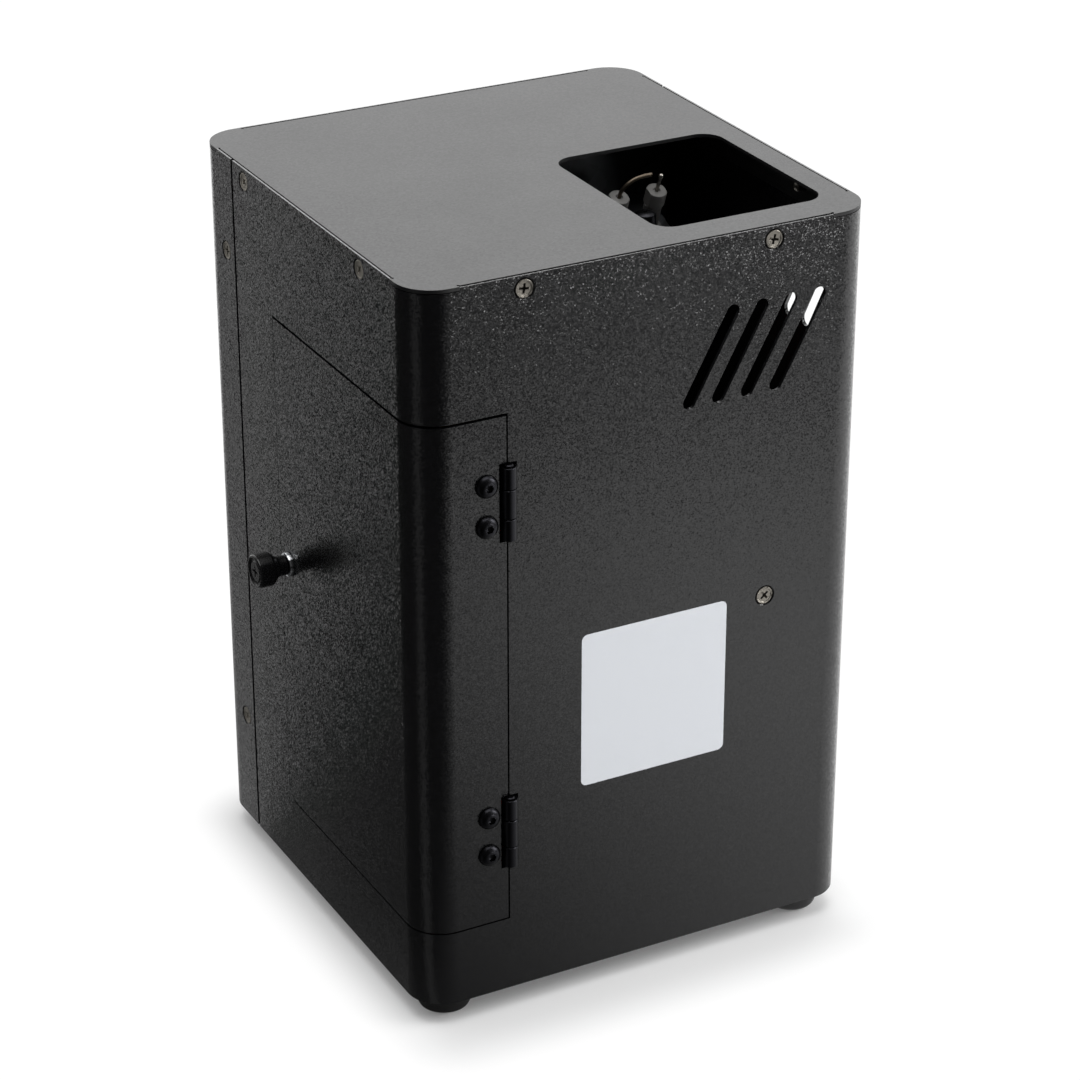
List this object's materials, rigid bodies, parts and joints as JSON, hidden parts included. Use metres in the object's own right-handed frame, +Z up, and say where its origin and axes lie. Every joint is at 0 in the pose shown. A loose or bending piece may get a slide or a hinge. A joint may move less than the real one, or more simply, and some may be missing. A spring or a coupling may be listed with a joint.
{
  "type": "stage flame machine",
  "caption": "Square sheet steel column with a flame outlet, an ignition burner, a corner door for its fuel can, and rear sockets and controls.",
  "frame": {"origin": "the middle of the outer box in plan, on the surface that the feet stand on", "axes": "+Z up; -Y out of the vented front; -X out of the side with the latch knob; +Y out of the rear with the sockets"},
  "size_m": [0.216, 0.2074, 0.32],
  "materials": {
    "powder_coat": "fine textured powder coat, satin",
    "top_powder_coat": "fine textured powder coat, satin",
    "zinc_screw": "bright zinc plated",
    "black_steel": "black oxide",
    "galvanised": "galvanised sheet",
    "supply_case": "bare sheet",
    "foot_rubber": "matt",
    "black_plastic": "moulded, matt",
    "chrome": "polished",
    "brass": "machined",
    "ceramic": "unglazed white",
    "can_paint": "gloss lacquer",
    "hose": "smooth",
    "lead": "silicone, satin",
    "epoxy": "cast resin",
    "board": "solder mask",
    "die_cast": "die cast, nickel plated"
  },
  "bodies": {
    "body": {"base_plate": "powder_coat", "front_shell": "powder_coat", "rear_cover": "powder_coat", "top_plate": "top_powder_coat", "foot_front_left": "foot_rubber", "foot_front_right": "foot_rubber", "foot_rear_left": "foot_rubber", "foot_rear_right": "foot_rubber", "top_screw_front_left": "zinc_screw", "top_screw_front_right": "zinc_screw", "top_screw_left_front": "zinc_screw", "top_screw_left_rear": "zinc_screw", "top_screw_right_front": "zinc_screw", "chamber_screw": "zinc_screw", "cover_screw_low": "zinc_screw", "cover_screw_high": "zinc_screw", "hinge_upper_shell_leaf": "black_steel", "hinge_upper_pin": "black_steel", "hinge_lower_shell_leaf": "black_steel", "hinge_lower_pin": "black_steel", "inner_walls": "galvanised", "chamber_floor": "galvanised", "can_seat": "black_plastic", "fuel_can": "can_paint", "can_connector": "brass", "fuel_hose": "hose", "valve_body": "brass", "valve_coil": "black_plastic", "burner_tube": "brass", "ignition_transformer": "epoxy", "power_supply": "supply_case", "burner_bracket": "galvanised", "nozzle": "black_steel", "insulator_left": "ceramic", "electrode_left": "zinc_screw", "spark_lead_left": "lead", "insulator_right": "ceramic", "electrode_right": "zinc_screw", "spark_lead_right": "lead", "control_board": "board", "control_panel": "black_plastic", "data_in": "die_cast", "data_out": "die_cast", "power_inlet": "black_plastic", "switch_frame": "black_plastic"},
    "door": {"door": "powder_coat", "hinge_upper_door_leaf": "black_steel", "hinge_lower_door_leaf": "black_steel", "door_screw_upper_high": "black_steel", "door_screw_upper_low": "black_steel", "door_screw_lower_high": "black_steel", "door_screw_lower_low": "black_steel", "latch_ferrule": "chrome"},
    "latch": {"latch_knob": "black_plastic", "latch_tongue": "zinc_screw"},
    "menu_button_1": {"menu_button_1": "black_plastic"},
    "menu_button_2": {"menu_button_2": "black_plastic"},
    "menu_button_3": {"menu_button_3": "black_plastic"},
    "menu_button_4": {"menu_button_4": "black_plastic"},
    "rocker": {"switch_rocker": "black_plastic"}
  },
  "joints": [
    {"name": "door_swing", "type": "hinge", "parent": "body", "child": "door", "pos_m": [-0.0532, -0.10062, 0.1586], "axis": [0, 0, 1], "range_deg": [0, 160]},
    {"name": "latch_turn", "type": "hinge", "parent": "door", "child": "latch", "pos_m": [-0.092, 0.02058, 0.1586], "axis": [1, 0, 0], "range_deg": [0, 90]},
    {"name": "menu_button_1_press", "type": "slide", "parent": "body", "child": "menu_button_1", "axis": [0, -1, 0], "range_m": [0, 0.001], "stiffness_N_per_m": 600, "springref_m": -0.0005},
    {"name": "menu_button_2_press", "type": "slide", "parent": "body", "child": "menu_button_2", "axis": [0, -1, 0], "range_m": [0, 0.001], "stiffness_N_per_m": 600, "springref_m": -0.0005},
    {"name": "menu_button_3_press", "type": "slide", "parent": "body", "child": "menu_button_3", "axis": [0, -1, 0], "range_m": [0, 0.001], "stiffness_N_per_m": 600, "springref_m": -0.0005},
    {"name": "menu_button_4_press", "type": "slide", "parent": "body", "child": "menu_button_4", "axis": [0, -1, 0], "range_m": [0, 0.001], "stiffness_N_per_m": 600, "springref_m": -0.0005},
    {"name": "rocker_tilt", "type": "hinge", "parent": "body", "child": "rocker", "pos_m": [0.038, 0.09578, 0.07], "axis": [-1, 0, 0], "range_deg": [0, 16]}
  ]
}
